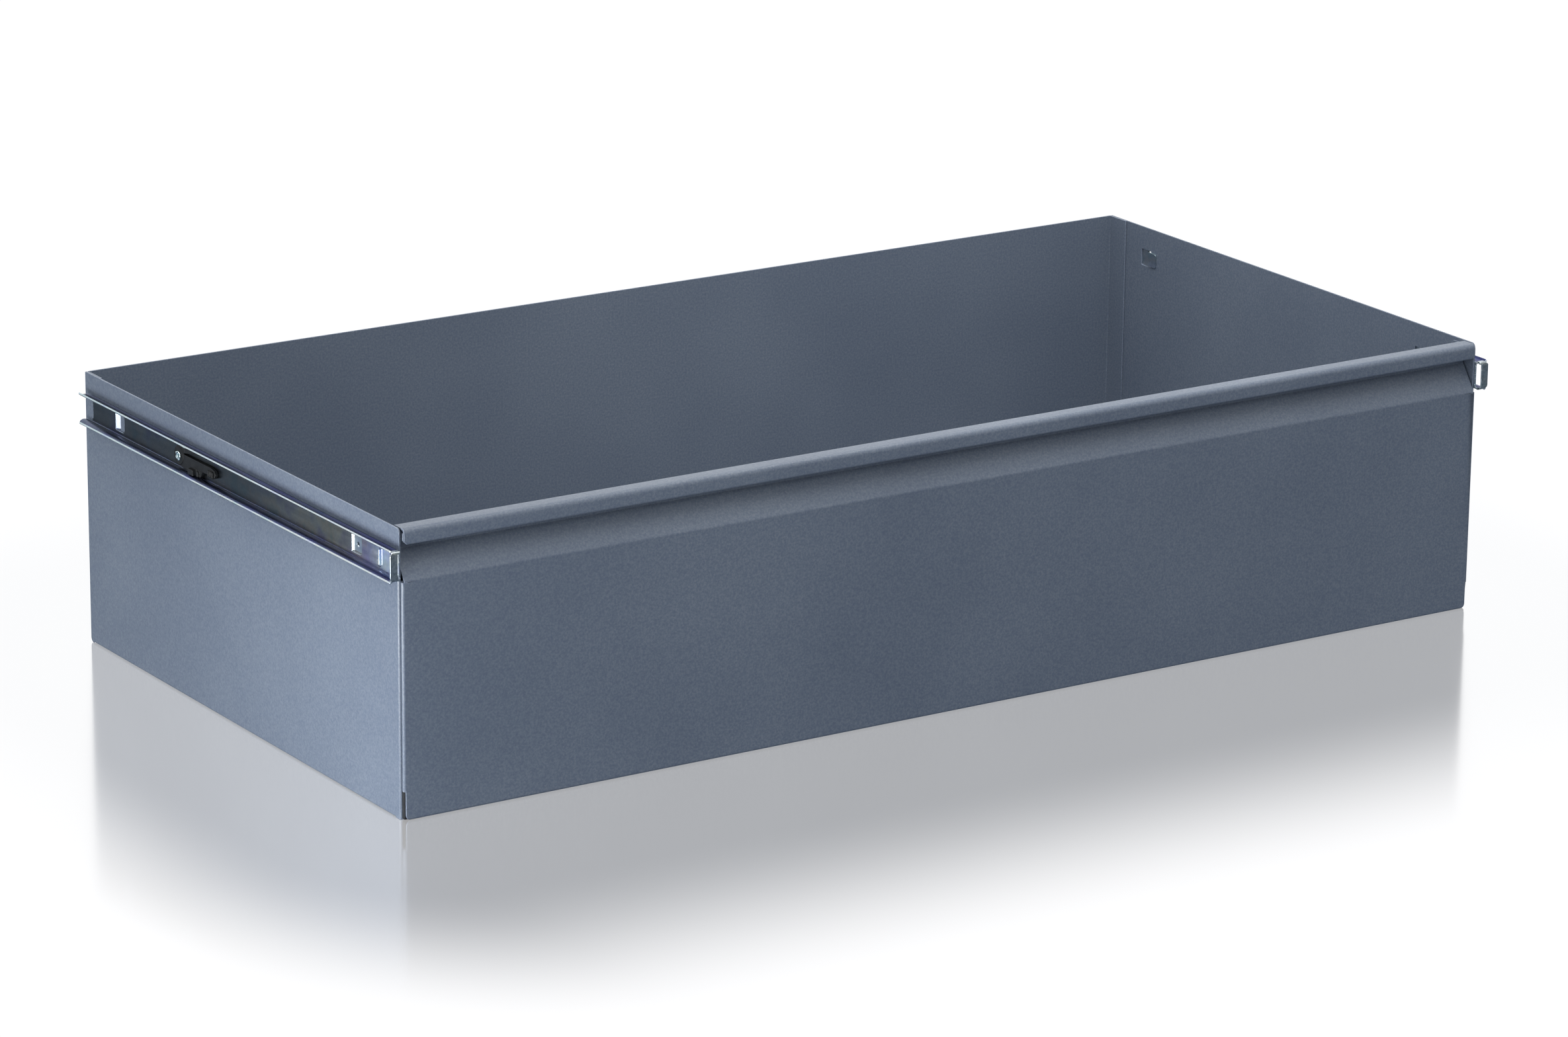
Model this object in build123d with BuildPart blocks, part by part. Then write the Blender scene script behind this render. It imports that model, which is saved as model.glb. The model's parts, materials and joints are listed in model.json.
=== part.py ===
"""Sheet-steel cabinet drawer, with the drawer members of its ball-bearing slides.

Millimetres. Origin: bottom centre of the whole part. +X to the right, +Y to the
back of the cabinet, +Z up. The left-hand pieces are drawn, and the right-hand
ones are their mirror images.
"""

from build123d import *
import os

os.makedirs("parts", exist_ok=True)

# ---------------------------------------------------------------- dimensions

# Drawer box
width = 894.0  # over the outer faces of the side panels
depth = 450.0  # front face to back face
height = 200.0
sheet = 1.2
bend = 1.8  # outside radius of an ordinary fold
tab_proud = 1.6  # the slides' stop tabs stand this far in front of the front face

front_y = -(depth - tab_proud) / 2
back_y = front_y + depth
side_x = width / 2  # outer face of a side panel
inner_x = side_x - sheet  # its inner face
fit_gap = 0.1  # between pieces that lie against each other
overrun = 1.0  # cutters reach this far past the faces they cut
close_by = 0.01  # half the span in which an edge is looked for

# Front panel, measured back from the front face and up from the bottom
crease_z = 164.6
crease_gap = 0.8  # the side folds stop this far below the crease
crease_radius = 3.0
recess_radius = 1.0  # inside radius of the recess's folds
recess_top_z = 183.4
recess_depth = 14.4
lip_bottom_z = 189.0
lip_radius = 3.6
hem_gap = 0.64
hem_height = 6.6
hem_radius = 0.3  # inside radius of the hem's folds
front_half = side_x - 2.3
return_half = side_x - 0.7  # outer faces of the folded edges below the crease
return_depth = 2.3
return_lap = 6.0  # each return's section starts this far in on the face
return_room = 1.6  # the face stops this far short of them
return_end_radius = 0.8
corner_cut_z = 20.0  # the side returns stop here, above the corner plugs
corner_cut_x = side_x - 17.0  # the bottom return stops here, beside the plugs
corner_cut_y = 17.2
corner_cut_top = 14.0
front_corner_radius = 4.0
lip_chamfer = 2.5

# Flanges
front_flange_y = 4.0
front_flange = 14.0
bottom_flange = 15.0
back_flange = 21.5
liner_flange = 12.6
liner_drop = 2.4  # the inner panel stops this far below the top
liner_radius = 3.0
side_flange_start = 8.0  # the side panels' bottom flanges, from the front face
side_flange_end = 4.0  # and from the back face
rear_return_z = 12.0  # the front panel's bottom return turns up to here
flange_end_x = side_x - 17.0  # bottom flanges of front, liner and back end here
floor_z = 11.2  # upper face of the floor
floor_notch = 3.0  # open corners of the floor tray
floor_skirt_z = 2.0  # its front and back skirts end here
shell_radius = 3.5  # rounded free corners of the side panels
shell_corner = 0.8  # and the tight one at the crease
section_lap = 6.0  # a fold's section starts this far in on the sheet it leaves
bottom_lap = 8.0
side_front_y = 3.0  # front edge of a side panel beside the finger recess
window_radius = 1.0

# Floor stiffeners
stiffener_x = 150.0
stiffener_web_z = 2.6
stiffener_web_half = 20.0
stiffener_foot_half = 25.0
stiffener_half = 40.0
stiffener_gap = 1.0  # to the tray's skirts

# Slide members, "u" is measured outwards from the side panel
rail_z = 175.9
rail_front = 0.4  # lips, measured forward from the front face
rail_back = 444.5
web_front = 2.0
web_back = 436.0
web_corner = 4.0
web_half = 10.3
lip_half = 11.6
lip_u = 8.2
lip_dip = 0.6  # the ball race dips this far below the web's edge
fold_front = 1.2  # the folds start and end short of the lips
fold_back = 437.5
nose_inner_u = 1.9
nose_outer_u = 9.3
nose_radius = 3.2
hook_roots = (63.2, 401.3)
hook_insets = (sheet, 2 * sheet)  # from the web's outer face to each tongue's
hook_ramps = (1.8, 3.5)
hook_root_fold = 1.5  # radius of the fold at each tongue's root
hook_set_fold = 2.0  # and of the one that sets it back
hook_length = 12.3
hook_half = 5.6
hook_tip_radius = 1.8
hook_slot = 13.2
hook_slot_half = 6.4
hook_slot_radius = 3.0
hook_windows = ((-14.0, 7.2), (-5.3, 7.2))  # in the side panel, from each root
hook_window_half = 6.4
key_hole_radius = 1.7
key_hole_back = 6.6
key_hole_drop = 0.5
lip_corner_radius = 1.5
past_end = 20.0  # cutters at the rail's ends reach this far beyond it
tab_u = 9.0
tab_inner_u = 3.2
tab_strap_u = 1.5
tab_half = 10.6
tab_bend = 2.4
tab_window_half = 8.6
tab_chamfer = 2.2
tab_foot_radius = 3.8
tab_corner_radius = 0.5
tab_chamfer_radius = 0.9
lug_y = 23.3
lug_height = 10.7
lug_stand = 2.2
lug_slot = 2.8
lug_slot_height = 6.9
lug_slot_z = 1.95
lug_slot_radius = 1.3
pip_y = 26.8
pip_z = -4.7
pip_radius = 2.9
pip_stand = 1.4
pip_round = 1.0

# Release lever, "a" is measured forward from the pivot
pivot_y = front_y + 301.2
rivet_radius = 2.0
flare = 0.9  # countersink in the web, and the rivet's flare that fills it
running_gap = 0.06
lever_u = 1.5
lever_face_u = 3.9
boss_u = 4.3
boss_radius = 7.2
boss_step = 0.8  # the raised boss is this much smaller than the lever's eye
arm_start = 8.0  # the spring arm leaves the lever here
arm_root_z = 7.1
arm_root_under_z = 3.4
lever_outline = (
    (0, boss_radius),
    (arm_start, arm_root_z),
    (arm_start, arm_root_under_z),
    (6.4, 2.9),
    (8.0, 2.4),
    (46.0, 2.6),
    (51.0, 1.6),
    (53.0, -1.0),
    (52.0, -3.6),
    (48.5, -5.0),
    (44.0, -4.8),
    (40.5, -3.6),
    (34.0, -3.7),
    (31.0, -8.2),
    (17.0, -8.2),
    (11.0, -7.6),
    (0, -boss_radius),
)
lever_corner_radius = 1.4
spring_outline = (
    (arm_start, arm_root_z),
    (17.0, 8.1),
    (34.0, 8.15),
    (34.0, 7.3),
    (17.0, 5.2),
    (arm_start, arm_root_under_z),
)
foot_z = -6.2
foot_blocks = ((21.2, 7.4, 4.0, 2.9), (28.6, 3.2, 3.6, 1.6))  # a, length, height, stand
pad_a = 47.5
pad_z = -1.7
pad_length = 8.8
pad_height = 5.0
pad_radius = 1.6
pad_stand = 0.8
rib_pitch = 2.2
rib_count = 4
rib_width = 0.9
rib_height = 4.2
rib_stand = 1.3
head_gap = 0.15
head_radius = 3.6
head_chamfer_u = 0.5
head_chamfer = 0.8
head_u = 1.0
dimple_radius = 1.9
dimple_floor_radius = 1.2
dimple_floor_u = 0.3

# Corner plug
plug_height = 19.4
plug_inset = 1.35  # from the side panel's outer face
plug_base_z = 0.2
plug_edge_radius = 0.8
plug_foot_radius = 1.5
plug_peg_z = 10.0
plug_peg_x = side_x - 8.5
peg_radius = 2.5
peg_sink = 0.5  # the peg starts this deep in the pad
snap_radius = 3.1
snap_length = 3.2
snap_taper = 25.0


# ------------------------------------------------------------------- helpers


def folded_sheet(points, radii, side=Side.LEFT):
    """Section of a folded sheet: its outer line, and that line offset inwards."""
    with BuildSketch() as section:
        with BuildLine():
            FilletPolyline(*points, radius=radii)
            offset(amount=sheet, side=side)
        make_face()
    return section.sketch_local


def section_at_y(y):
    """Plane across the drawer at y: local x is X and local y is Z."""
    return Plane.XZ.offset(-y)


def mirrored(piece):
    """The right-hand twin of a left-hand piece."""
    with BuildPart() as twin:
        mirror(piece, about=Plane.YZ)
    return twin.part


def save(part, name):
    """Label a finished piece and write it to its own file."""
    part.label = name
    export_step(part, f"parts/{name}.step")


# --------------------------------------------------------------- side panels

side_flange_line = [
    (-side_x, front_y + front_flange_y + section_lap),
    (-side_x, front_y + front_flange_y),
    (-side_x + front_flange, front_y + front_flange_y),
]
side_bottom_line = [(-side_x, bottom_lap), (-side_x, 0), (-side_x + bottom_flange, 0)]
flange_start_y = front_y + side_flange_start
flange_end_y = back_y - side_flange_end
side_fold_top = crease_z - crease_gap

with BuildPart() as left_side_panel:
    # Flat web, with strips left out where the folds run
    with BuildSketch(Plane.YZ.offset(-side_x)):
        with BuildLine():
            FilletPolyline(
                (front_y + front_flange_y + bend, 0),
                (flange_start_y, 0),
                (flange_start_y, bend),
                (flange_end_y, bend),
                (flange_end_y, 0),
                (back_y, 0),
                (back_y, height),
                (front_y + side_front_y, height),
                (front_y + side_front_y, side_fold_top),
                (front_y + front_flange_y + bend, side_fold_top),
                radius=[0, 0, 0, 0, 0, shell_radius, shell_corner, shell_radius, 0, 0],
                close=True,
            )
        make_face()
        for root, (start, end) in zip(hook_roots, hook_windows):
            with Locations((front_y + root + (start + end) / 2, rail_z)):
                RectangleRounded(
                    end - start, 2 * hook_window_half, window_radius, mode=Mode.SUBTRACT
                )
    extrude(amount=sheet)
    # Front flange, folded in behind the front panel
    with BuildSketch(Plane.XY):
        add(folded_sheet(side_flange_line, bend))
    extrude(amount=side_fold_top)
    # Bottom flange, which carries the floor
    with BuildSketch(section_at_y(flange_start_y)):
        add(folded_sheet(side_bottom_line, bend))
    extrude(amount=-(flange_end_y - flange_start_y))
    # Hole for the corner plug's peg
    with BuildSketch(section_at_y(front_y + front_flange_y - overrun)):
        with Locations((-plug_peg_x, plug_peg_z)):
            Circle(peg_radius + fit_gap)
    extrude(amount=-(sheet + 2 * overrun), mode=Mode.SUBTRACT)

save(left_side_panel.part, "left_side_panel")
save(mirrored(left_side_panel.part), "right_side_panel")


# ---------------------------------------------------------------- back panel

wall_half = inner_x - fit_gap  # outer faces of flanges that lie in the side panels

with BuildPart() as back_panel:
    # Wall with a flange forward along each side panel
    with BuildSketch(Plane.XY.offset(bend)):
        outline = [
            (-wall_half, back_y - back_flange),
            (-wall_half, back_y),
            (wall_half, back_y),
            (wall_half, back_y - back_flange),
        ]
        add(folded_sheet(outline, bend, Side.RIGHT))
    extrude(amount=height - bend)
    # Bottom flange under the floor
    with BuildSketch(Plane.YZ):
        outline = [(back_y, bottom_lap), (back_y, 0), (back_y - bottom_flange, 0)]
        add(folded_sheet(outline, bend, Side.RIGHT))
    extrude(amount=flange_end_x, both=True)

save(back_panel.part, "back_panel")


# --------------------------------------------------------------- front panel

rear_face_y = front_y + recess_depth
recess_face_y = rear_face_y - sheet
lip_inner_y = front_y + sheet
hem_y = lip_inner_y + hem_gap
top_inner_z = height - sheet
hem_turn_z = lip_bottom_z + sheet

with BuildPart() as front_panel:
    # Bottom return, face, crease, sloping recess, rear wall, top, lip and hem
    with BuildSketch(Plane.YZ):
        outline = [
            (rear_face_y, rear_return_z),
            (rear_face_y, 0),
            (front_y, 0),
            (front_y, crease_z),
            (recess_face_y, recess_top_z),
            (recess_face_y, top_inner_z),
            (lip_inner_y, top_inner_z),
            (lip_inner_y, hem_turn_z),
            (hem_y, hem_turn_z),
            (hem_y, hem_turn_z + hem_height),
        ]
        radii = [
            bend,
            bend,
            crease_radius,
            recess_radius,
            recess_radius,
            lip_radius - sheet,
            hem_radius,
            hem_radius,
        ]
        add(folded_sheet(outline, radii, Side.RIGHT))
    extrude(amount=front_half, both=True)

    for hand in (-1, 1):
        # Room for the side return's rounded fold
        with Locations((hand * front_half, front_y, (corner_cut_z + crease_z) / 2)):
            Box(
                2 * return_room,
                2 * (sheet + fit_gap),
                side_fold_top - corner_cut_z - crease_gap,
                mode=Mode.SUBTRACT,
            )
        # Bottom return stops short of the corner plug
        with Locations((hand * corner_cut_x, lip_inner_y, corner_cut_top)):
            Box(
                side_x - corner_cut_x,
                corner_cut_y - sheet,
                corner_cut_top + overrun,
                align=(Align.MIN if hand > 0 else Align.MAX, Align.MIN, Align.MAX),
                mode=Mode.SUBTRACT,
            )
        # Rounded bottom corner of the face
        with BuildSketch(section_at_y(front_y - overrun)):
            with Locations((hand * front_half, 0)):
                Rectangle(2 * front_corner_radius, 2 * front_corner_radius)
            with Locations((hand * (front_half - front_corner_radius), front_corner_radius)):
                Circle(front_corner_radius, mode=Mode.SUBTRACT)
        extrude(amount=-(sheet + 2 * overrun), mode=Mode.SUBTRACT)
        # Chamfered lower corner of the lip
        with BuildSketch(section_at_y(front_y - overrun)):
            with BuildLine():
                Polyline(
                    (hand * (front_half + overrun), lip_bottom_z - overrun),
                    (hand * (front_half + overrun), lip_bottom_z + lip_chamfer + overrun),
                    (hand * (front_half - lip_chamfer - overrun), lip_bottom_z - overrun),
                    close=True,
                )
            make_face()
        extrude(amount=-(hem_y - front_y + sheet + 2 * overrun), mode=Mode.SUBTRACT)
        # Side return
        with BuildSketch(Plane.XY.offset(corner_cut_z)):
            outline = [
                (hand * return_half, front_y + return_depth),
                (hand * return_half, front_y),
                (hand * (front_half - return_lap), front_y),
            ]
            side = Side.LEFT if hand < 0 else Side.RIGHT
            add(folded_sheet(outline, bend, side))
        extrude(amount=side_fold_top - corner_cut_z)

    # Rounded lower ends of the side returns
    return_ends = front_panel.edges().filter_by(Axis.X)
    return_ends = return_ends.filter_by_position(
        Axis.Z, corner_cut_z - close_by, corner_cut_z + close_by
    )
    return_end_y = front_y + return_depth
    return_ends = return_ends.filter_by_position(
        Axis.Y, return_end_y - close_by, return_end_y + close_by
    )
    fillet(return_ends, return_end_radius)

save(front_panel.part, "front_panel")


# --------------------------------------------------------- front inner panel

liner_top = height - liner_drop

with BuildPart() as front_inner_panel:
    # Wall behind the front panel, with a flange back along each side panel
    with BuildSketch(Plane.XY.offset(bend)):
        outline = [
            (-wall_half, rear_face_y + liner_flange),
            (-wall_half, rear_face_y),
            (wall_half, rear_face_y),
            (wall_half, rear_face_y + liner_flange),
        ]
        add(folded_sheet(outline, bend))
    extrude(amount=liner_top - bend)
    # Bottom flange under the floor
    with BuildSketch(Plane.YZ):
        outline = [
            (rear_face_y, bottom_lap),
            (rear_face_y, 0),
            (rear_face_y + bottom_flange, 0),
        ]
        add(folded_sheet(outline, bend))
    extrude(amount=flange_end_x, both=True)
    # Rounded upper corners of the side flanges
    flange_corners = front_inner_panel.edges().filter_by(Axis.X)
    flange_corners = flange_corners.filter_by_position(
        Axis.Z, liner_top - close_by, liner_top + close_by
    )
    fillet(flange_corners.group_by(Axis.Y)[-1], liner_radius)

save(front_inner_panel.part, "front_inner_panel")


# --------------------------------------------------------------------- floor

floor_front = rear_face_y + sheet + fit_gap
floor_back = back_y - sheet - fit_gap
floor_half = wall_half - sheet - fit_gap

with BuildPart() as bottom_panel:
    # Tray turned down on four sides, with open corners
    with BuildSketch(section_at_y(floor_front + floor_notch)):
        outline = [
            (-floor_half, sheet),
            (-floor_half, floor_z),
            (floor_half, floor_z),
            (floor_half, sheet),
        ]
        add(folded_sheet(outline, bend, Side.RIGHT))
    extrude(amount=-(floor_back - floor_front - 2 * floor_notch))
    with BuildSketch(Plane.YZ):
        outline = [
            (floor_front, floor_skirt_z),
            (floor_front, floor_z),
            (floor_back, floor_z),
            (floor_back, floor_skirt_z),
        ]
        add(folded_sheet(outline, bend, Side.RIGHT))
    extrude(amount=floor_half - floor_notch, both=True)

save(bottom_panel.part, "bottom_panel")

stiffener_top = floor_z - sheet
stiffener_radii = [2 * sheet, sheet, sheet, 2 * sheet]

with BuildPart() as left_floor_stiffener:
    # Hat channel from front to back under the floor
    with BuildSketch(section_at_y(floor_front + sheet + stiffener_gap)):
        outline = [
            (-stiffener_x - stiffener_half, stiffener_top),
            (-stiffener_x - stiffener_foot_half, stiffener_top),
            (-stiffener_x - stiffener_web_half, stiffener_web_z),
            (-stiffener_x + stiffener_web_half, stiffener_web_z),
            (-stiffener_x + stiffener_foot_half, stiffener_top),
            (-stiffener_x + stiffener_half, stiffener_top),
        ]
        add(folded_sheet(outline, stiffener_radii, Side.RIGHT))
    extrude(amount=-(floor_back - floor_front - 2 * (sheet + stiffener_gap)))

save(left_floor_stiffener.part, "left_floor_stiffener")
save(mirrored(left_floor_stiffener.part), "right_floor_stiffener")


# -------------------------------------------------------------- corner plugs

plug_left = -side_x + plug_inset
plug_right = -side_x + front_flange
plug_front = front_y + sheet + fit_gap
plug_back = front_y + front_flange_y

with BuildPart() as left_corner_plug:
    # Pad between the front panel and the side panel's flange
    with Locations((plug_left, plug_front, plug_base_z)):
        Box(
            plug_right - plug_left,
            plug_back - plug_front,
            plug_height,
            align=(Align.MIN, Align.MIN, Align.MIN),
        )
    pad_sides = left_corner_plug.edges().filter_by(Axis.Z)
    fillet(pad_sides.group_by(Axis.X)[0].sort_by(Axis.Y)[0], plug_edge_radius)
    pad_corners = left_corner_plug.edges().filter_by(Axis.Y)
    fillet(pad_corners.group_by(Axis.Z)[0].sort_by(Axis.X)[0], plug_foot_radius)
    # Peg with a snap head behind the flange
    with BuildSketch(section_at_y(plug_back - peg_sink)):
        with Locations((-plug_peg_x, plug_peg_z)):
            Circle(peg_radius)
    extrude(amount=-(peg_sink + sheet + fit_gap))
    with BuildSketch(section_at_y(plug_back + sheet + fit_gap)):
        with Locations((-plug_peg_x, plug_peg_z)):
            Circle(snap_radius)
    extrude(amount=-snap_length, taper=snap_taper)

save(left_corner_plug.part, "left_corner_plug")
save(mirrored(left_corner_plug.part), "right_corner_plug")


# ------------------------------------------------------------- slide members

web_x = -side_x - sheet  # outer face of the web
web_cut = Plane.YZ.offset(web_x - overrun)
rail_start_y = front_y - rail_front
tab_face_y = front_y - tab_proud

with BuildPart() as left_stop:
    # Strap bent round the rail's front end
    with BuildSketch(Plane.YZ.offset(-side_x - tab_u)):
        outline = [
            (front_y + web_front, rail_z + tab_half),
            (tab_face_y, rail_z + tab_half),
            (tab_face_y, rail_z - tab_half),
            (front_y + web_front, rail_z - tab_half),
        ]
        add(folded_sheet(outline, tab_bend))
    extrude(amount=tab_u - tab_strap_u)
    # Chamfered upper corner and rounded lower corner
    with BuildSketch(section_at_y(tab_face_y)):
        with BuildLine():
            FilletPolyline(
                (-side_x, rail_z - tab_half),
                (-side_x, rail_z + tab_half),
                (-side_x - tab_u + tab_chamfer, rail_z + tab_half),
                (-side_x - tab_u, rail_z + tab_half - tab_chamfer),
                (-side_x - tab_u, rail_z - tab_half),
                radius=[
                    tab_corner_radius,
                    tab_corner_radius,
                    tab_chamfer_radius,
                    tab_chamfer_radius,
                    tab_foot_radius,
                ],
                close=True,
            )
        make_face()
    extrude(amount=-(tab_proud + web_front), mode=Mode.INTERSECT)
    # Window between the web and the tab
    with Locations((-side_x, tab_face_y, rail_z)):
        Box(
            tab_inner_u,
            tab_proud + web_front,
            2 * tab_window_half,
            align=(Align.MAX, Align.MIN, Align.CENTER),
            mode=Mode.SUBTRACT,
        )

with BuildPart() as left_slide_rail:
    # Channel open to the outside, its lips dished as ball races
    with BuildSketch(section_at_y(rail_start_y)):
        with BuildLine():
            upper_race = ThreePointArc(
                (-side_x - lip_u, rail_z + lip_half),
                (-side_x - (lip_u + bend) / 2, rail_z + web_half - lip_dip),
                (-side_x - bend, rail_z + web_half),
            )
            upper_fold = RadiusArc(upper_race @ 1, (-side_x, rail_z + web_half - bend), bend)
            back_line = Line(upper_fold @ 1, (-side_x, rail_z - web_half + bend))
            lower_fold = RadiusArc(back_line @ 1, (-side_x - bend, rail_z - web_half), bend)
            ThreePointArc(
                lower_fold @ 1,
                (-side_x - (lip_u + bend) / 2, rail_z - web_half + lip_dip),
                (-side_x - lip_u, rail_z - lip_half),
            )
            offset(amount=sheet, side=Side.RIGHT)
        make_face()
    extrude(amount=-(rail_back + rail_front))

    # Rounded front corners of the lips
    end_edges = left_slide_rail.edges().filter_by_position(
        Axis.Y, rail_start_y - close_by, rail_start_y + close_by
    )
    fillet(end_edges.group_by(Axis.X)[0], lip_corner_radius)

    # Web cut back at both ends
    with BuildSketch(Plane.YZ.offset(-side_x - bend)):
        with Locations((front_y + web_back, rail_z)):
            RectangleRounded(
                past_end,
                2 * (web_half - bend),
                web_corner,
                align=(Align.MIN, Align.CENTER),
            )
        with Locations((front_y + web_front, rail_z)):
            Rectangle(past_end, 2 * tab_window_half, align=(Align.MAX, Align.CENTER))
    extrude(amount=bend + overrun, mode=Mode.SUBTRACT)

    # In plan, round noses at the lips' rear ends, and folds cut short at both ends
    with BuildSketch(Plane.XY.offset(rail_z - 2 * lip_half)):
        with Locations((-side_x + overrun, front_y + fold_back)):
            Rectangle(nose_outer_u + overrun, past_end, align=(Align.MAX, Align.MIN))
        with Locations((-side_x - nose_inner_u, front_y + rail_back)):
            RectangleRounded(
                nose_outer_u - nose_inner_u,
                past_end,
                nose_radius,
                align=(Align.MAX, Align.MAX),
                mode=Mode.SUBTRACT,
            )
        with Locations((-side_x + overrun, front_y + fold_front)):
            Rectangle(tab_strap_u + overrun, past_end, align=(Align.MAX, Align.MAX))
    extrude(amount=4 * lip_half, mode=Mode.SUBTRACT)

    # Front stop
    add(left_stop.part)

    # Hook tongues pressed out of the web, which hold in the side panel's windows
    for root, inset, ramp in zip(hook_roots, hook_insets, hook_ramps):
        root_y = front_y + root
        with BuildSketch(web_cut):
            with Locations((root_y, rail_z)):
                Rectangle(hook_slot, 2 * hook_slot_half, align=(Align.MAX, Align.CENTER))
        extrude(amount=sheet + 2 * overrun, mode=Mode.SUBTRACT)
        with BuildSketch(Plane.XY.offset(rail_z - hook_half)):
            outline = [
                (web_x, root_y + hook_root_fold),
                (web_x, root_y),
                (web_x + inset, root_y - ramp),
                (web_x + inset, root_y - hook_length),
            ]
            add(folded_sheet(outline, [hook_root_fold, hook_set_fold]))
        extrude(amount=2 * hook_half)
    cross_edges = left_slide_rail.edges().filter_by(Axis.X)
    for root in hook_roots:
        tip_y = front_y + root - hook_length
        fillet(
            cross_edges.filter_by_position(Axis.Y, tip_y - close_by, tip_y + close_by),
            hook_tip_radius,
        )

    # Rounded front corners of the slots that the tongues leave
    for root in hook_roots:
        slot_y = front_y + root - hook_slot
        cross_edges = left_slide_rail.edges().filter_by(Axis.X)
        fillet(
            cross_edges.filter_by_position(Axis.Y, slot_y - close_by, slot_y + close_by),
            hook_slot_radius,
        )

    # Keying hole in the front tongue
    with BuildSketch(Plane.YZ.offset(-side_x - overrun)):
        with Locations((front_y + hook_roots[0] - key_hole_back, rail_z - key_hole_drop)):
            Circle(key_hole_radius)
    extrude(amount=sheet + 2 * overrun, mode=Mode.SUBTRACT)

    # Cage stop: a lug lanced out of the web, its slot, and a pip below the slot
    with Locations((web_x, front_y + lug_y, rail_z)):
        Box(lug_stand, sheet, lug_height, align=(Align.MAX, Align.MIN, Align.CENTER))
    with BuildSketch(web_cut):
        with Locations((front_y + lug_y + sheet + lug_slot / 2, rail_z + lug_slot_z)):
            RectangleRounded(lug_slot, lug_slot_height, lug_slot_radius)
    extrude(amount=sheet + 2 * overrun, mode=Mode.SUBTRACT)
    with Locations(Location((web_x, front_y + pip_y, rail_z + pip_z), (0, -90, 0))):
        Cone(
            bottom_radius=pip_radius,
            top_radius=pip_radius - pip_stand,
            height=pip_stand,
            align=(Align.CENTER, Align.CENTER, Align.MIN),
        )
    pip_x = web_x - pip_stand
    pip_edges = left_slide_rail.edges().filter_by(GeomType.CIRCLE)
    fillet(
        pip_edges.filter_by_position(Axis.X, pip_x - close_by, pip_x + close_by),
        pip_round,
    )

    # Countersunk hole for the lever's rivet
    with BuildSketch(web_cut):
        with Locations((pivot_y, rail_z)):
            Circle(rivet_radius)
    extrude(amount=sheet + 2 * overrun, mode=Mode.SUBTRACT)
    with Locations(Location((-side_x, pivot_y, rail_z), (0, -90, 0))):
        Cone(
            bottom_radius=rivet_radius + flare,
            top_radius=rivet_radius,
            height=flare,
            align=(Align.CENTER, Align.CENTER, Align.MIN),
            mode=Mode.SUBTRACT,
        )

save(left_slide_rail.part, "left_slide_rail")
save(mirrored(left_slide_rail.part), "right_slide_rail")


# ------------------------------------------------------------ release levers


def lever_point(a, z):
    """Point of the lever's outline: a forward of the pivot, z above it."""
    return (pivot_y - a, rail_z + z)


lever_plane = Plane.YZ.offset(-side_x - lever_face_u)
lever_thick = lever_face_u - lever_u

with BuildPart() as left_release_lever:
    # Arm, with the spring's stub above it, the finger tip and the foot
    with BuildSketch(lever_plane):
        with Locations(lever_point(0, 0)):
            Circle(boss_radius)
        with BuildLine():
            Polyline(*[lever_point(a, z) for a, z in lever_outline], close=True)
        make_face()
        outline_corners = vertices().sort_by(Axis.X).group_by(Axis.X)
        fillet(
            outline_corners[0] + outline_corners[1] + outline_corners[2],
            lever_corner_radius,
        )
    extrude(amount=lever_thick)
    # Raised boss round the rivet
    with BuildSketch(lever_plane):
        with Locations(lever_point(0, 0)):
            Circle(boss_radius - boss_step)
    extrude(amount=-(boss_u - lever_face_u))
    # Latch foot, in two steps, which stands out to meet the cabinet side's stop
    for foot_a, foot_length, foot_height, foot_stand in foot_blocks:
        with BuildSketch(lever_plane):
            with Locations(lever_point(foot_a, foot_z)):
                Rectangle(foot_length, foot_height)
        extrude(amount=-foot_stand)
    # Finger pad with grip ribs
    with BuildSketch(lever_plane):
        with Locations(lever_point(pad_a, pad_z)):
            RectangleRounded(pad_length, pad_height, pad_radius)
    extrude(amount=-pad_stand)
    with BuildSketch(lever_plane):
        with Locations(lever_point(pad_a, pad_z)):
            with GridLocations(rib_pitch, 0, rib_count, 1):
                Rectangle(rib_width, rib_height)
    extrude(amount=-rib_stand)
    # Bore that turns on the rivet
    with BuildSketch(lever_plane.offset(lever_thick + overrun)):
        with Locations(lever_point(0, 0)):
            Circle(rivet_radius + running_gap)
    extrude(amount=-(lever_thick + 2 * overrun), mode=Mode.SUBTRACT)

save(left_release_lever.part, "left_release_lever")
save(mirrored(left_release_lever.part), "right_release_lever")

with BuildPart() as left_lever_spring:
    # Tapering arm that runs on from the lever's stub and bears on the upper lip
    with BuildSketch(lever_plane):
        with BuildLine():
            Polyline(*[lever_point(a, z) for a, z in spring_outline], close=True)
        make_face()
    extrude(amount=lever_thick)

save(left_lever_spring.part, "left_lever_spring")
save(mirrored(left_lever_spring.part), "right_lever_spring")

with BuildPart() as left_lever_rivet:
    # Shank, countersunk flare in the web, and a ringed head over the boss
    head_x = -side_x - boss_u - head_gap
    with BuildSketch(Plane.XY.offset(rail_z)):
        with BuildLine():
            Polyline(
                (-side_x, pivot_y),
                (-side_x, pivot_y + rivet_radius + flare),
                (-side_x - flare, pivot_y + rivet_radius),
                (head_x, pivot_y + rivet_radius),
                (head_x, pivot_y + head_radius),
                (head_x - head_chamfer_u, pivot_y + head_radius),
                (head_x - head_u, pivot_y + head_radius - head_chamfer),
                (head_x - head_u, pivot_y + dimple_radius),
                (head_x - dimple_floor_u, pivot_y + dimple_floor_radius),
                (head_x - dimple_floor_u, pivot_y),
                close=True,
            )
        make_face()
    revolve(axis=Axis((0, pivot_y, rail_z), (1, 0, 0)))

save(left_lever_rivet.part, "left_lever_rivet")
save(mirrored(left_lever_rivet.part), "right_lever_rivet")
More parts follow.
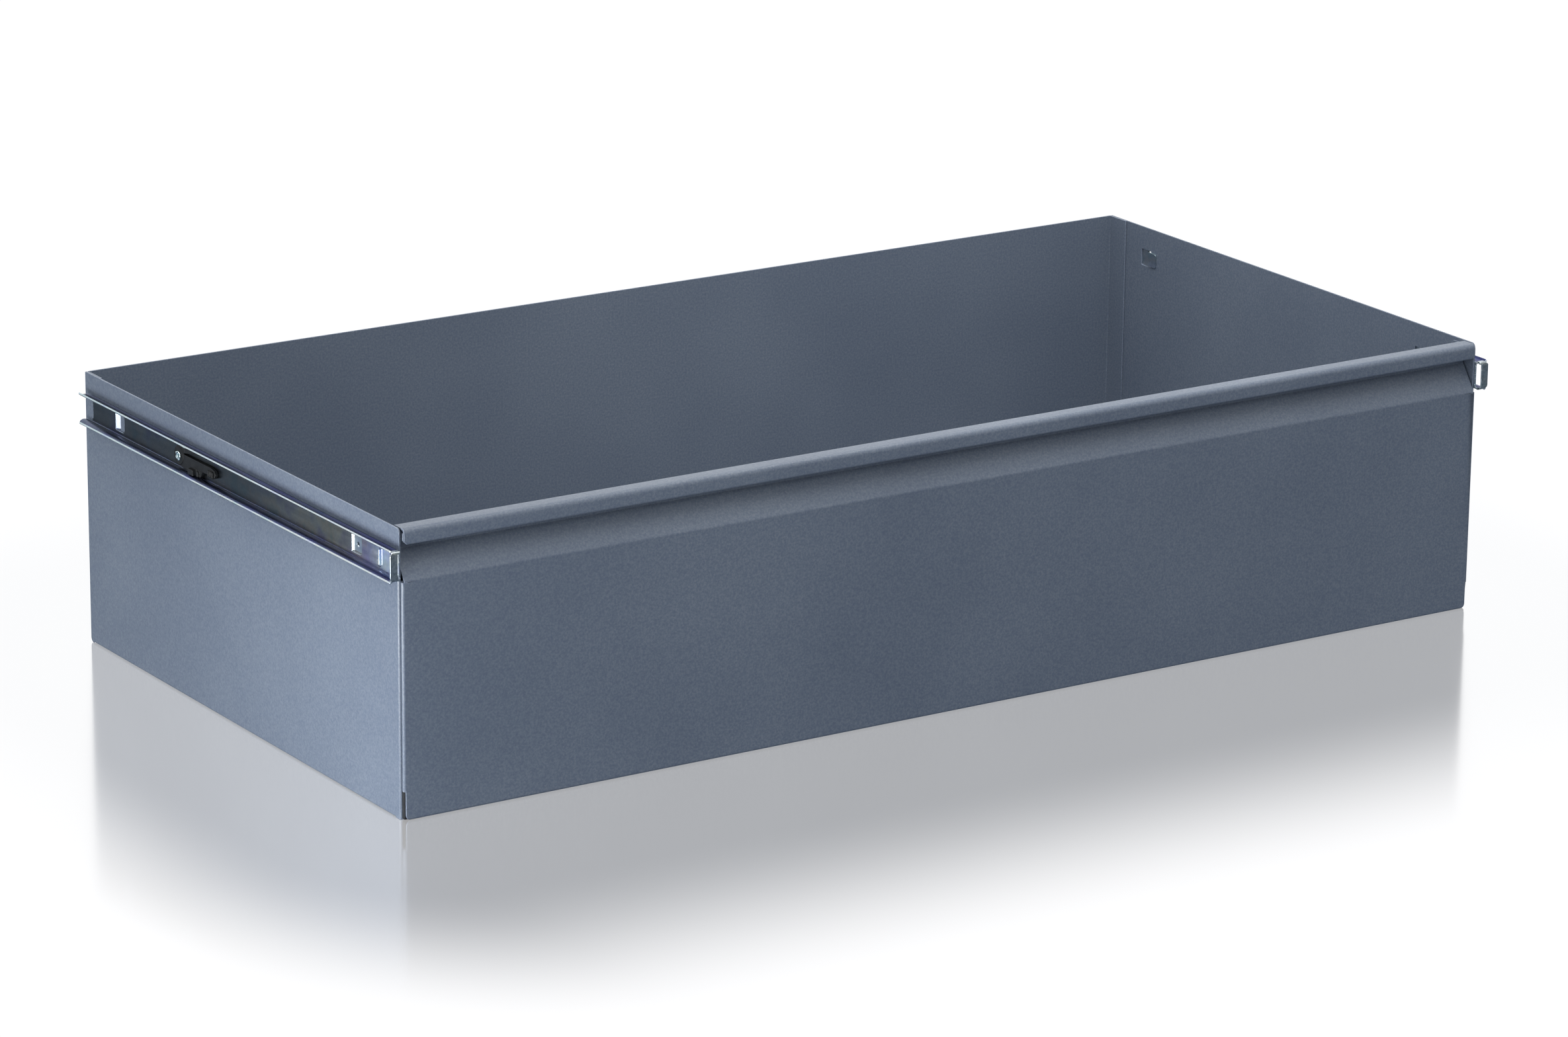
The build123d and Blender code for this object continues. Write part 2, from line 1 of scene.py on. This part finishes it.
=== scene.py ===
import json
import math

import bmesh
import bpy
from mathutils import Matrix, Vector
from mathutils.bvhtree import BVHTree
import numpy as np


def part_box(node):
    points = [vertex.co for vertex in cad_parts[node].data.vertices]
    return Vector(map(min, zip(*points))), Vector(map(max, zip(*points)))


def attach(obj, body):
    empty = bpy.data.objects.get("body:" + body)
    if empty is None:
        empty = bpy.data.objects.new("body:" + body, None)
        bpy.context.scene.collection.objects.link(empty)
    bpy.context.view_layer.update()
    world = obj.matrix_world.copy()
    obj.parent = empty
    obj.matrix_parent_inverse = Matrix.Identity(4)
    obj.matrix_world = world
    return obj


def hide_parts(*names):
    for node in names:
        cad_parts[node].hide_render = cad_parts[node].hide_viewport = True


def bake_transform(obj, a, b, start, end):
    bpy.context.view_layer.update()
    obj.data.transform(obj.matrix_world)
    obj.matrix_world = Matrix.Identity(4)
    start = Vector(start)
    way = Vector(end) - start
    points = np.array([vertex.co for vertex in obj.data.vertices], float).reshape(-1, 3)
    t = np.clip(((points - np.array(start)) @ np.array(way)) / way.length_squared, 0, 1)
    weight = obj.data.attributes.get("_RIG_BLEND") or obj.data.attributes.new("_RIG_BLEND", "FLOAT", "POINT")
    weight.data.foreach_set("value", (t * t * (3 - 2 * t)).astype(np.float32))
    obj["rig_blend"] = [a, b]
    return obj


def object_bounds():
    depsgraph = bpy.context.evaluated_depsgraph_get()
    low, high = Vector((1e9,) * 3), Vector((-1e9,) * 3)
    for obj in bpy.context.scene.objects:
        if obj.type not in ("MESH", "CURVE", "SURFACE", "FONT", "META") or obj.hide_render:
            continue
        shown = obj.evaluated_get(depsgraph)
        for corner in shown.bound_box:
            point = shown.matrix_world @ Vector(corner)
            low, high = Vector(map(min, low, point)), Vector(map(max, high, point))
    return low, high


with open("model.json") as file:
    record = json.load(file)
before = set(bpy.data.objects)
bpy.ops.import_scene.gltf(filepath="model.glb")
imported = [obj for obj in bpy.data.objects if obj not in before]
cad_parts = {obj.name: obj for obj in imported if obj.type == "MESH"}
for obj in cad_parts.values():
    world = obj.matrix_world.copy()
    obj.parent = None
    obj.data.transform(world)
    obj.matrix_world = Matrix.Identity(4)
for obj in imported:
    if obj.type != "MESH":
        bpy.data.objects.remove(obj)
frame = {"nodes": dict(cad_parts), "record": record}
cad_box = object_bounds()
scene = bpy.context.scene

# Lengths are in metres, angles in degrees

# -------------------------------------------------------------------- nodes


def linear(r, g, b):
    """Linear colour from 8-bit sRGB values."""
    def channel(v):
        v /= 255
        return v / 12.92 if v <= 0.04045 else ((v + 0.055) / 1.055) ** 2.4
    return (channel(r), channel(g), channel(b), 1.0)


def toned(colour, r, g, b):
    """The colour with its channels scaled."""
    return (colour[0] * r, colour[1] * g, colour[2] * b, 1.0)


class Nodes:
    """A node tree, with short calls for the nodes used here. The values they take
    are numbers, colours or the outputs of other nodes."""

    def __init__(self, tree):
        self.tree = tree

    def add(self, kind, **settings):
        node = self.tree.nodes.new("ShaderNode" + kind)
        for name, value in settings.items():
            setattr(node, name, value)
        return node

    def find(self, kind):
        return next(node for node in self.tree.nodes if node.type == kind)

    def feed(self, socket, value):
        if hasattr(value, "node"):
            self.tree.links.new(value, socket)
        else:
            socket.default_value = value

    def split(self, vector, axis):
        node = self.add("SeparateXYZ")
        self.feed(node.inputs["Vector"], vector)
        return node.outputs[axis]

    def math(self, operation, *values):
        node = self.add("Math", operation=operation)
        for socket, value in zip(node.inputs, values):
            self.feed(socket, value)
        return node.outputs[0]

    def vector_math(self, operation, *vectors):
        node = self.add("VectorMath", operation=operation)
        for socket, vector in zip(node.inputs, vectors):
            self.feed(socket, vector)
        return node.outputs["Value"]

    def span(self, value, low, high, to_low=0.0, to_high=1.0, curve="LINEAR"):
        """The range low to high becomes to_low to to_high, and stops at its ends."""
        node = self.add("MapRange", interpolation_type=curve)
        node.inputs["From Min"].default_value = low
        node.inputs["From Max"].default_value = high
        node.inputs["To Min"].default_value = to_low
        node.inputs["To Max"].default_value = to_high
        self.feed(node.inputs["Value"], value)
        return node.outputs["Result"]

    def ramp(self, factor, stops):
        node = self.add("ValToRGB")
        points = node.color_ramp.elements
        for i, (at, colour) in enumerate(stops):
            point = points[i] if i < 2 else points.new(at)
            point.position = at
            point.color = colour
        self.feed(node.inputs["Fac"], factor)
        return node.outputs["Color"]

    def mix(self, factor, a, b, blend="MIX"):
        node = self.add("Mix", data_type="RGBA", blend_type=blend)
        for name, value in (("Factor", factor), ("A", a), ("B", b)):
            in_use = [s for s in node.inputs if s.name == name and s.enabled]
            self.feed(in_use[0], value)
        return next(s for s in node.outputs if s.enabled)


class Finish(Nodes):
    """A material, set on its Principled shader."""

    def __init__(self, name):
        self.material = bpy.data.materials.new(name)
        self.material.use_nodes = True
        super().__init__(self.material.node_tree)
        self.bsdf = self.find("BSDF_PRINCIPLED")
        self.place = self.add("TexCoord").outputs["Object"]

    def set(self, **values):
        for name, value in values.items():
            self.feed(self.bsdf.inputs[name.replace("_", " ")], value)

    def stretched(self, x, y, z):
        """The place on the object, with its axes scaled."""
        node = self.add("Mapping")
        node.inputs["Scale"].default_value = (x, y, z)
        self.feed(node.inputs["Vector"], self.place)
        return node.outputs["Vector"]

    def noise(self, scale, detail, rough, place=None):
        node = self.add("TexNoise")
        node.inputs["Scale"].default_value = scale
        node.inputs["Detail"].default_value = detail
        node.inputs["Roughness"].default_value = rough
        self.feed(node.inputs["Vector"], place or self.place)
        return node.outputs["Fac"]

    def bump(self, height, distance, strength):
        node = self.add("Bump")
        node.inputs["Distance"].default_value = distance
        node.inputs["Strength"].default_value = strength
        self.feed(node.inputs["Height"], height)
        self.set(Normal=node.outputs["Normal"])


# ---------------------------------------------------------------- materials

WHITE = (1, 1, 1, 1)
LOW, HIGH = 0.3, 0.7  # a noise mostly keeps between these
STREAK_SHARE = 0.35


def powder_coat(name, base):
    """Satin powder coat: fine orange peel, faint cloudiness and speckle."""
    s = Finish(name)
    dark = toned(base, 0.90, 0.91, 0.93)
    light = toned(base, 1.10, 1.09, 1.07)
    cloud = s.noise(scale=7, detail=2, rough=0.5)
    cloud = s.ramp(cloud, [(LOW, dark), (HIGH, light)])
    speckle = s.ramp(
        s.noise(scale=650, detail=3, rough=0.7),
        [
            (0.36, (0.80, 0.83, 0.90, 1)),
            (0.50, (0.98, 1.00, 1.00, 1)),
            (0.64, (1.22, 1.19, 1.13, 1)),
        ],
    )
    gloss = s.noise(scale=300, detail=3, rough=0.6)
    s.set(
        Base_Color=s.mix(1.0, cloud, speckle, "MULTIPLY"),
        Roughness=s.span(gloss, LOW, HIGH, to_low=0.36, to_high=0.47),
        IOR=1.5,
    )
    peel = s.noise(scale=800, detail=3, rough=0.6)
    s.bump(peel, distance=0.00009, strength=0.6)
    return s.material


REAR_Y, FRONT_Y = 0.225, -0.225  # the drawer's ends
DULLER_FROM_Y, DULLEST_Y = -0.182, -0.222  # where front_rough sets in


def zinc(name, along, rough, mottle=0.35, tinted=0.5, front_rough=0.0):
    """Blue-passivated zinc plate: rolling streaks, mottling and a trace of oil
    colours. along gives its colour from the rear of the drawer (0) to the front (1).
    front_rough is added to its roughness at the very front."""
    s = Finish(name)
    y = s.split(s.place, "Y")
    base = s.ramp(s.span(y, REAR_Y, FRONT_Y), along)
    streaks = s.noise(scale=24, detail=4, rough=0.6, place=s.stretched(9, 0.6, 9))
    shade = s.ramp(streaks, [(LOW, (0.6, 0.62, 0.65, 1)), (HIGH, WHITE)])
    base = s.mix(STREAK_SHARE, base, shade, "MULTIPLY")
    patch = s.ramp(
        s.noise(scale=420, detail=4, rough=0.65),
        [(0.35, (0.45, 0.5, 0.52, 1)), (0.65, WHITE)],
    )
    base = s.mix(mottle, base, patch, "MULTIPLY")
    oil = s.ramp(
        s.noise(scale=48, detail=2, rough=0.5),
        [
            (0.36, linear(168, 160, 225)),
            (0.47, linear(225, 228, 234)),
            (0.55, linear(240, 222, 208)),
            (0.66, linear(160, 200, 205)),
        ],
    )
    streaked = s.span(streaks, LOW, HIGH, to_low=rough - 0.05, to_high=rough + 0.08)
    duller = s.span(y, DULLER_FROM_Y, DULLEST_Y, to_high=front_rough)
    s.set(
        Base_Color=s.mix(tinted, base, oil, "MULTIPLY"),
        Roughness=s.math("ADD", streaked, duller),
        Metallic=1.0,
    )
    rolled = s.noise(scale=60, detail=4, rough=0.6, place=s.stretched(8, 0.8, 8))
    s.bump(rolled, distance=0.00002, strength=0.4)
    return s.material


def plastic(name, base, rough):
    """Moulded plastic with a fine spark-eroded grain."""
    s = Finish(name)
    dark = toned(base, 0.75, 0.75, 0.75)
    light = toned(base, 1.5, 1.5, 1.5)
    worn = s.noise(scale=220, detail=3, rough=0.6)
    s.set(
        Base_Color=s.ramp(worn, [(0.35, dark), (HIGH, light)]),
        Roughness=s.span(worn, LOW, HIGH, to_low=rough - 0.06, to_high=rough + 0.08),
        Specular_IOR_Level=0.3,
    )
    grain = s.noise(scale=2600, detail=2, rough=0.5)
    s.bump(grain, distance=0.00003, strength=0.5)
    return s.material


# Zinc colours from the rear of the drawer (0) to the front (1). The web lightens
# towards its front end: a painted highlight
WEB_WITH_FRONT_HIGHLIGHT = [
    (0.0, linear(92, 102, 108)),
    (0.55, linear(110, 118, 122)),
    (0.84, linear(168, 170, 160)),
    (0.90, linear(200, 198, 222)),
    (0.945, linear(204, 222, 234)),
    (1.0, linear(226, 240, 238)),
]
# The rivet's own bright zinc; on the rail the same colours are a painted highlight on its edges
RIVET_AND_EDGE_HIGHLIGHT = [(0.0, linear(190, 208, 214)), (1.0, linear(212, 222, 226))]
# Painted shade, dull blue, on the upward-facing faces of the lips
RACE_SHADE = [(0.0, linear(84, 94, 122)), (1.0, linear(78, 86, 132))]
# Painted highlight on the hook tongues, window walls and the lug
PRESSED_HIGHLIGHT = [(0.0, linear(205, 214, 222)), (1.0, linear(196, 212, 222))]
TAB = [(0.0, linear(168, 178, 180)), (1.0, linear(168, 178, 180))]

paint = powder_coat("powder_coat", (0.108, 0.131, 0.172))
# A lighter copy of the powder coat for the panels' rounded edges: a painted highlight
paint_edge_highlight = powder_coat("powder_coat_edge_highlight", (0.17, 0.20, 0.26))
rivet_metal = zinc("rivet_plate", RIVET_AND_EDGE_HIGHLIGHT, 0.18, mottle=0.1, tinted=0.2)
lever_black = plastic("lever_black", (0.0065, 0.0075, 0.0085), 0.5)
plug_black = plastic("plug_black", linear(26, 28, 31), 0.55)

# The slide member's materials, in the order of its material slots: the web, painted
# highlights on edges, painted shade on races, painted highlights on tongues, the stop tab
RAIL_MATERIALS = {
    # The web, with its painted highlight towards the front
    "web": zinc("zinc_plate", WEB_WITH_FRONT_HIGHLIGHT, 0.30, mottle=0.25, front_rough=0.2),
    # Painted highlight on the lip ends, straps, front ramp and rounded edges
    "edge": zinc("zinc_edge_highlight", RIVET_AND_EDGE_HIGHLIGHT, 0.24, mottle=0.1, tinted=0.3),
    # Painted shade on the lips' upward-facing faces
    "race_shade": zinc("zinc_race_shade", RACE_SHADE, 0.28),
    # Painted highlight on the tongues, window walls and lug
    "pressed_highlight": zinc("zinc_pressed_highlight", PRESSED_HIGHLIGHT, 0.38, mottle=0.2, tinted=0.4),
    "tab": zinc("zinc_tab", TAB, 0.34, mottle=0.8, tinted=0.3),
}
RAIL_SLOT = {look: i for i, look in enumerate(RAIL_MATERIALS)}

# ------------------------------------------------------------------- pieces

SLOTS = {row["node"]: row["material_slot"] for row in frame["record"]["subparts"]}
BODY_OF = {
    node: body
    for body, nodes in frame["record"]["behaviour"]["bodies"].items()
    for node in nodes
}

SAME_POINT = 1e-7
MERGE_GAP = 2e-6  # vertices of a CAD mesh closer than this become one
FLAT_ANGLE = 0.6  # its faces within this angle of each other become one
BEVEL_ANGLE = 32  # edges sharper than this are rounded
BEVEL_SEGMENTS = 2
BEVEL = {
    "paint": 0.00022,
    "plug": 0.0003,
    "lever": 0.00035,
    "rail": 0.0002,
    "arm": 0.00015,
}
# Material slot of the painted edge highlight on the panels' bevels
PAINT_HIGHLIGHT_SLOT = 1
NO_SLOT = -1  # the bevel takes the material of the faces beside it


def clean_copy(node, *materials):
    """A copy of a CAD node's mesh with its flat faces whole again."""
    mesh = frame["nodes"][node].data.copy()
    mesh.name = node + "_finished"
    bm = bmesh.new()
    bm.from_mesh(mesh)
    bmesh.ops.remove_doubles(bm, verts=bm.verts, dist=MERGE_GAP)
    bmesh.ops.dissolve_limit(
        bm, angle_limit=math.radians(FLAT_ANGLE), verts=bm.verts, edges=bm.edges
    )
    bm.to_mesh(mesh)
    bm.free()
    piece = bpy.data.objects.new(node + "_finished", mesh)
    scene.collection.objects.link(piece)
    mesh.materials.clear()
    for material in materials:
        mesh.materials.append(material)
    return piece


def smooth_but(mesh, angle):
    """Smooth shading, but for the edges sharper than the angle."""
    for face in mesh.polygons:
        face.use_smooth = True
    bm = bmesh.new()
    bm.from_mesh(mesh)
    for edge in bm.edges:
        if len(edge.link_faces) == 2:
            edge.smooth = edge.calc_face_angle(0) < math.radians(angle)
    bm.to_mesh(mesh)
    bm.free()


def softened(piece, width, edge_slot=NO_SLOT):
    """Rounds the piece's sharp edges with a narrow bevel. A vertex that the bevel
    throws out by more than its width goes back to the surface."""
    modifier = piece.modifiers.new("edge", "BEVEL")
    modifier.width = width
    modifier.segments = BEVEL_SEGMENTS
    modifier.limit_method = "ANGLE"
    modifier.angle_limit = math.radians(BEVEL_ANGLE)
    modifier.use_clamp_overlap = False
    modifier.harden_normals = True
    modifier.material = edge_slot
    smooth_but(piece.data, BEVEL_ANGLE)
    surface = BVHTree.FromPolygons(
        [v.co for v in piece.data.vertices], [f.vertices for f in piece.data.polygons]
    )
    shown = piece.evaluated_get(bpy.context.evaluated_depsgraph_get())
    mesh = bpy.data.meshes.new_from_object(shown)
    piece.modifiers.clear()
    piece.data = mesh
    for vertex in mesh.vertices:
        nearest, _, _, gap = surface.find_nearest(vertex.co)
        if gap > width:
            vertex.co = nearest


def stand_in(piece, node):
    """The piece takes the CAD node's place and body."""
    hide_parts(node)
    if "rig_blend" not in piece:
        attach(piece, BODY_OF[node])


def finished(node, materials, width, edge_slot=NO_SLOT):
    piece = clean_copy(node, *materials)
    softened(piece, width, edge_slot)
    stand_in(piece, node)


# Where the slide member's zinc, painted highlights and painted shade change. Out is the
# distance from the side panel's face, up is from the middle of the channel, up or down,
# and back is from its front end
WEB_OUT = (0.0010, 0.0013)  # a little under and over the web's outer face
LIP_OUT = 0.0083  # beyond it are the ends of the lips
RACE_UP = 0.0070
LUG_UP, LUG_BACK = 0.0085, 0.035
CORNER_UP, CORNER_BACK = 0.0096, 0.0036
TAB_BACK, STRAP_BACK = 0.0005, 0.005

# How far a face's normal has to point to the front (negative Y) or upward (Z)
TAB_FACING, STRAP_FACING = -0.7, -0.9
RAMP_FACING = 0.3  # to the front or the back
RACE_FACING = 0.25


def rail_material(face, panel_face, middle, front):
    """The material of one face of a slide member, painted highlights and painted shade among them."""
    out = abs(face.center.x) - panel_face
    up = abs(face.center.z - middle)
    back = face.center.y - front
    # Lip ends and front corners: painted edge highlight
    if out > LIP_OUT or (back < CORNER_BACK and up > CORNER_UP):
        return "edge"
    if back < TAB_BACK and face.normal.y < TAB_FACING:
        return "tab"
    # Front-facing straps of the stop tab: painted edge highlight
    if back < STRAP_BACK and face.normal.y < STRAP_FACING and out < WEB_OUT[1]:
        return "edge"
    # Hook tongues, window walls and hidden back: painted highlight, on the front tongue's ramp the edge
    # highlight
    if out < WEB_OUT[0]:  # hook tongues, window walls and the web's hidden back
        on_front_ramp = face.center.y < 0 and abs(face.normal.y) > RAMP_FACING
        return "edge" if on_front_ramp else "pressed_highlight"
    # The lug: painted highlight
    if back < LUG_BACK and up < LUG_UP and out > WEB_OUT[1]:
        return "pressed_highlight"
    # Upward-facing faces of the lips: painted shade
    if up > RACE_UP and face.normal.z > RACE_FACING:
        return "race_shade"
    return "web"


def slide_rail(side):
    """Slide member: dark web with a painted highlight towards its front, painted shade,
    dull blue, on its races, and painted highlights on its edges and tongues.
    """
    node = side + "_slide_rail"
    rail = clean_copy(node, *RAIL_MATERIALS.values())
    low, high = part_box(node)
    panel_low, panel_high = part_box(side + "_side_panel")
    panel_face = max(abs(panel_low.x), abs(panel_high.x))
    for face in rail.data.polygons:
        look = rail_material(face, panel_face, (low.z + high.z) / 2, low.y)
        face.material_index = RAIL_SLOT[look]
    # The rail's rounded edges take the painted edge highlight too
    softened(rail, BEVEL["rail"], RAIL_SLOT["edge"])
    stand_in(rail, node)


ARM_PARTS = 12  # the spring arm is cut into these along its length, so that it can bend


def spring_arm(side):
    """Spring arm, which bends from the lever to its tip on the upper lip."""
    node = side + "_lever_spring"
    arm = clean_copy(node, lever_black)
    low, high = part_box(node)
    cuts = bmesh.new()
    cuts.from_mesh(arm.data)
    for step in range(1, ARM_PARTS):
        y = low.y + (high.y - low.y) * step / ARM_PARTS
        geometry = cuts.verts[:] + cuts.edges[:] + cuts.faces[:]
        bmesh.ops.bisect_plane(
            cuts, geom=geometry, plane_co=(0, y, 0), plane_no=(0, 1, 0), dist=SAME_POINT
        )
    cuts.to_mesh(arm.data)
    cuts.free()
    softened(arm, BEVEL["arm"])
    middle = (low + high) / 2
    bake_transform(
        arm,
        side + "_lever",
        "drawer",
        start=(middle.x, high.y, middle.z),
        end=(middle.x, low.y, middle.z),
    )
    stand_in(arm, node)


# Half section of the rivet: radius, and height from its inner end
RIVET = [
    (0.0, 0.0000), (0.0029, 0.0000), (0.0020, 0.0009), (0.0020, 0.00445),
    (0.0031, 0.00445), (0.0035, 0.0047), (0.0036, 0.0050), (0.0033, 0.0053),
    (0.0027, 0.00545), (0.0021, 0.0053), (0.0016, 0.0048), (0.0014, 0.0038),
    (0.0013, 0.0030), (0.0, 0.0029),
]
RIVET_SIDES = 60
RIVET_SHARP_ANGLE = 50
SHANK_RADIUS = 0.0020
RIM_FROM, SPLIT_FROM = 0.0044, 0.0046  # heights where the rim starts, and its splits
PETALS = 5
SPLIT_IN = 0.10  # share of the radius that a split takes in
SPLIT_DOWN = 0.00045


def rivet(side):
    """Tubular rivet, its rim split and rolled over into petals."""
    node = side + "_lever_rivet"
    low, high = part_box(node)
    inner_x, outward = (high.x, -1) if side == "left" else (low.x, 1)
    centre = (low + high) / 2
    bm = bmesh.new()
    rings = []
    for radius, height in RIVET:
        ring = []
        for k in range(RIVET_SIDES):
            angle = 2 * math.pi * k / RIVET_SIDES
            split = 0.0
            if radius > SHANK_RADIUS and height > RIM_FROM:
                split = 0.5 + 0.5 * math.cos(PETALS * angle)
            r = radius * (1 - SPLIT_IN * split)
            h = height - (SPLIT_DOWN * split if height > SPLIT_FROM else 0)
            place = (
                inner_x + outward * h,
                centre.y + r * math.cos(angle),
                centre.z + r * math.sin(angle),
            )
            ring.append(bm.verts.new(place))
        rings.append(ring)
    for a, b in zip(rings, rings[1:]):
        for k in range(RIVET_SIDES):
            n = (k + 1) % RIVET_SIDES
            bm.faces.new((a[k], a[n], b[n], b[k]))
    bmesh.ops.remove_doubles(bm, verts=bm.verts, dist=SAME_POINT)
    bmesh.ops.recalc_face_normals(bm, faces=bm.faces)
    mesh = bpy.data.meshes.new(side + "_rivet_finished")
    bm.to_mesh(mesh)
    bm.free()
    mesh.materials.append(rivet_metal)
    smooth_but(mesh, RIVET_SHARP_ANGLE)
    piece = bpy.data.objects.new(side + "_rivet_finished", mesh)
    scene.collection.objects.link(piece)
    stand_in(piece, node)


# Painted panels, with the painted edge highlight on their bevels
for node, material_slot in SLOTS.items():
    if material_slot == "paint":
        finished(node, [paint, paint_edge_highlight], BEVEL["paint"], PAINT_HIGHLIGHT_SLOT)

for side in ("left", "right"):
    finished(side + "_corner_plug", [plug_black], BEVEL["plug"])
    finished(side + "_release_lever", [lever_black], BEVEL["lever"])
    slide_rail(side)
    spring_arm(side)
    rivet(side)

# -------------------------------------------------------------------- floor

# Back-lit white floor with a polished face: it mirrors what stands on it, and the
# mirroring fades away from the object
MIRRORED = 0.64  # share of mirror reflection at the object's foot
AWAY_UNIT = (0.55, 0.84)  # distances beyond the object in X and Y that count as 1
FADE_FROM, FADE_TO = 0.16, 0.47  # the fade's ends, in those units
MIRROR_ROUGHNESS = 0.12
FLOOR_COLOUR = (1.0, 1.0, 1.01, 1)
FLOOR_STRENGTH = 1.02
FLOOR_HALF = 40  # half its side
FLOOR_DROP = 0.0001  # keeps the floor out of the plane of the object's underside

f = Finish("studio_floor")
f.tree.nodes.remove(f.bsdf)
away = f.add("CombineXYZ")
for axis, half_size, unit in zip("XY", cad_box[1], AWAY_UNIT):
    distance = f.math("ABSOLUTE", f.split(f.place, axis))
    f.feed(away.inputs[axis], f.span(distance, half_size, half_size + unit))
fade = f.span(
    f.vector_math("LENGTH", away.outputs[0]),
    FADE_FROM,
    FADE_TO,
    to_low=MIRRORED,
    to_high=0.0,
    curve="SMOOTHSTEP",
)
glow = f.add("Emission")
glow.inputs["Color"].default_value = FLOOR_COLOUR
glow.inputs["Strength"].default_value = FLOOR_STRENGTH
mirror = f.add("BsdfGlossy")
mirror.inputs["Roughness"].default_value = MIRROR_ROUGHNESS
both = f.add("MixShader")
for socket, value in zip(both.inputs, (fade, glow.outputs[0], mirror.outputs[0])):
    f.feed(socket, value)
f.feed(f.find("OUTPUT_MATERIAL").inputs["Surface"], both.outputs[0])

floor_mesh = bpy.data.meshes.new("studio_floor")
corners = [
    (FLOOR_HALF * x, FLOOR_HALF * y, 0) for x, y in ((-1, -1), (1, -1), (1, 1), (-1, 1))
]
floor_mesh.from_pydata(corners, [], [(0, 1, 2, 3)])
floor_mesh.materials.append(f.material)
floor = bpy.data.objects.new("studio_floor", floor_mesh)
floor.location.z = -FLOOR_DROP
floor.visible_diffuse = False  # it neither lights the object nor shows in its metal
floor.visible_glossy = False
scene.collection.objects.link(floor)

# ------------------------------------------------------------- surroundings

# A white backdrop on one side, softer light from the other side and from below
BACKDROP_WAY = (0.55, 0.84, 0.0)
BACKDROP_FADE = (-0.2, 0.6)  # ends of the fade: a direction's dot product with it
HORIZON_FADE = (-0.05, 0.02)  # ends of the fade: a direction's Z
BACKDROP, OPPOSITE, BELOW = 1.2, 0.55, 0.31  # strengths
COLOUR_ABOVE = (0.98, 0.99, 1.0, 1)
COLOUR_BELOW = (0.74, 0.88, 1.1, 1)

world = bpy.data.worlds.new("studio")
scene.world = world
world.use_nodes = True
w = Nodes(world.node_tree)
way = w.add("TexCoord").outputs["Generated"]
toward = w.vector_math("DOT_PRODUCT", way, BACKDROP_WAY)
sky = w.span(toward, *BACKDROP_FADE, OPPOSITE, BACKDROP, curve="SMOOTHSTEP")
above = w.span(w.split(way, "Z"), *HORIZON_FADE, curve="SMOOTHSTEP")
from_above = w.math("MULTIPLY", sky, above)
from_below = w.math("MULTIPLY", w.math("SUBTRACT", 1.0, above), BELOW)
background = w.find("BACKGROUND")
w.feed(background.inputs["Strength"], w.math("ADD", from_above, from_below))
w.feed(background.inputs["Color"], w.mix(above, COLOUR_BELOW, COLOUR_ABOVE))

# ------------------------------------------------------------------- lights


def softbox(name, place, target, size, watts):
    light = bpy.data.lights.new(name, "AREA")
    light.shape = "RECTANGLE"
    light.size, light.size_y = size
    light.energy = watts
    lamp = bpy.data.objects.new(name, light)
    lamp.location = place
    aim = Vector(target) - Vector(place)
    lamp.rotation_euler = aim.to_track_quat("-Z", "Y").to_euler()
    lamp.visible_camera = False
    scene.collection.objects.link(lamp)


softbox("key_left", (-1.35, -0.22, 0.08), (-0.45, 0.02, 0.0), (0.7, 0.25), 7.6)
softbox("low_left", (-0.80, -0.30, 0.05), (-0.45, -0.20, 0.0), (0.25, 0.12), 1.9)
softbox("fill_left", (-2.6, 0.2, 2.0), (0.1, 0, 0.1), (1.6, 1.2), 10)
softbox("top", (-0.3, -0.7, 2.9), (0, 0, 0), (2.8, 2.4), 61)
softbox("front_high", (-1.6, -3.6, 2.2), (0, 0, 0.1), (2.0, 1.4), 32)
softbox("inside", (0.12, -0.12, 0.6), (0.42, 0.2, 0.1), (0.25, 0.25), 1.0)

# ------------------------------------------------------------------- camera

CAMERA_PLACE = (-2.3134, -3.5262, 1.3522)
VIEW_AXIS = (0.5245, 0.8010, -0.2888)
VIEW_RIGHT = (0.8382, -0.5453, 0.0100)
LENS_MM, SENSOR_MM = 140.56, 36

view_axis = Vector(VIEW_AXIS).normalized()
right = Vector(VIEW_RIGHT)
right = (right - view_axis * right.dot(view_axis)).normalized()
up = right.cross(view_axis)
turn = Matrix((right, up, -view_axis)).transposed().to_4x4()
camera_data = bpy.data.cameras.new("camera")
camera_data.sensor_fit = "HORIZONTAL"
camera_data.sensor_width = SENSOR_MM
camera_data.lens = LENS_MM
camera_data.clip_end = 200
camera = bpy.data.objects.new("camera", camera_data)
camera.matrix_world = Matrix.Translation(CAMERA_PLACE) @ turn
scene.collection.objects.link(camera)
scene.camera = camera
scene.view_settings.view_transform = "Standard"

bpy.context.view_layer.update()
